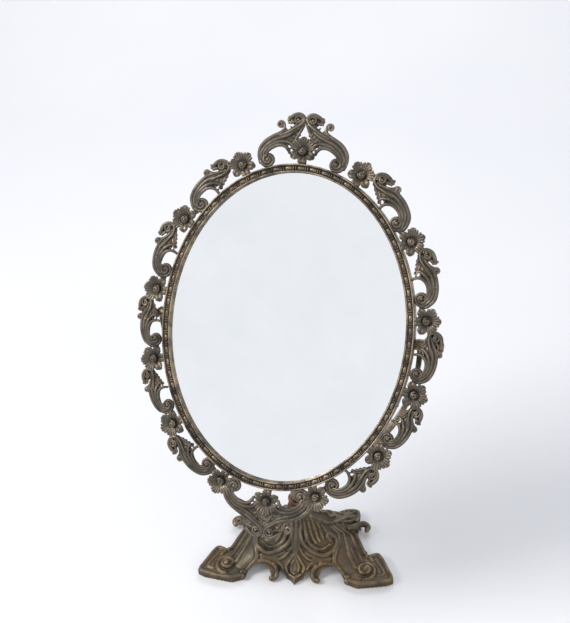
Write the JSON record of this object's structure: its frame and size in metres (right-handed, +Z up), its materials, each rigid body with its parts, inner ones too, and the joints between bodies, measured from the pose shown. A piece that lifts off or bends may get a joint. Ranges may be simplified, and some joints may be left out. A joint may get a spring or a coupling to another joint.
{
  "type": "tabletop dressing mirror",
  "caption": "Oval tabletop dressing mirror in an openwork flower and scroll frame, tilting in a bowed yoke that swivels on a footed cast base.",
  "frame": {"origin": "centre of the whole object's box at rest, at table height; the swivel axis is 7.5 mm behind it", "axes": "+Z up, +Y to the back of the base, +X to the right seen from the front; the yoke and mirror rest swivelled about 10 degrees and tilted back about 31 degrees"},
  "size_m": [0.2603, 0.1856, 0.4142],
  "materials": {
    "antique_brass": "tarnished cast brass, dark in the hollows and rubbed on the edges",
    "copper_brass": "reddish worn brass",
    "glass": "silvered glass",
    "card": "grey-brown pulp board",
    "plate": "thin steel sheet with dull dark lacquer",
    "steel": "dulled plain steel"
  },
  "bodies": {
    "base": {"base_casting": "antique_brass", "tie_washer": "steel"},
    "yoke_body": {"yoke": "antique_brass", "stem_collar": "copper_brass", "stem_tube": "antique_brass", "tie_bolt": "steel"},
    "mirror_frame": {"back_plate": "plate", "backing_card": "card", "clip_screws": "steel", "crest_bottom_left": "antique_brass", "crest_bottom_right": "antique_brass", "crest_top_left": "antique_brass", "crest_top_right": "antique_brass", "flower_bottom": "antique_brass", "flower_left_1": "antique_brass", "flower_left_2": "antique_brass", "flower_left_3": "antique_brass", "flower_left_4": "antique_brass", "flower_left_5": "antique_brass", "flower_left_6": "antique_brass", "flower_right_1": "antique_brass", "flower_right_2": "antique_brass", "flower_right_3": "antique_brass", "flower_right_4": "antique_brass", "flower_right_5": "antique_brass", "flower_right_6": "antique_brass", "flower_top": "antique_brass", "frame_rim": "antique_brass", "mirror_glass": "glass", "pivot_washer_left": "antique_brass", "pivot_washer_right": "antique_brass", "retaining_clips": "steel", "scroll_left_1": "antique_brass", "scroll_left_2": "antique_brass", "scroll_left_3": "antique_brass", "scroll_left_4": "antique_brass", "scroll_left_5": "antique_brass", "scroll_right_1": "antique_brass", "scroll_right_2": "antique_brass", "scroll_right_3": "antique_brass", "scroll_right_4": "antique_brass", "scroll_right_5": "antique_brass"},
    "knob_left": {"pivot_screw_left": "antique_brass"},
    "knob_right": {"pivot_screw_right": "antique_brass"}
  },
  "joints": [
    {"name": "yoke_swivel", "type": "hinge", "parent": "base", "child": "yoke_body", "pos_m": [0, 0.0075, 0.052], "axis": [0, 0, 1], "continuous": true},
    {"name": "mirror_tilt", "type": "hinge", "parent": "yoke_body", "child": "mirror_frame", "pos_m": [0, 0.0075, 0.2563], "axis": [-0.9836, 0.1805, 0], "range_deg": [-27.7, 49.3]},
    {"name": "knob_turn_left", "type": "hinge", "parent": "mirror_frame", "child": "knob_left", "pos_m": [-0.11803, 0.02916, 0.2563], "axis": [-0.9836, 0.1805, 0], "range_deg": [0, 360]},
    {"name": "knob_turn_right", "type": "hinge", "parent": "mirror_frame", "child": "knob_right", "pos_m": [0.11803, -0.01416, 0.2563], "axis": [0.9836, -0.1805, 0], "range_deg": [0, 360]}
  ]
}
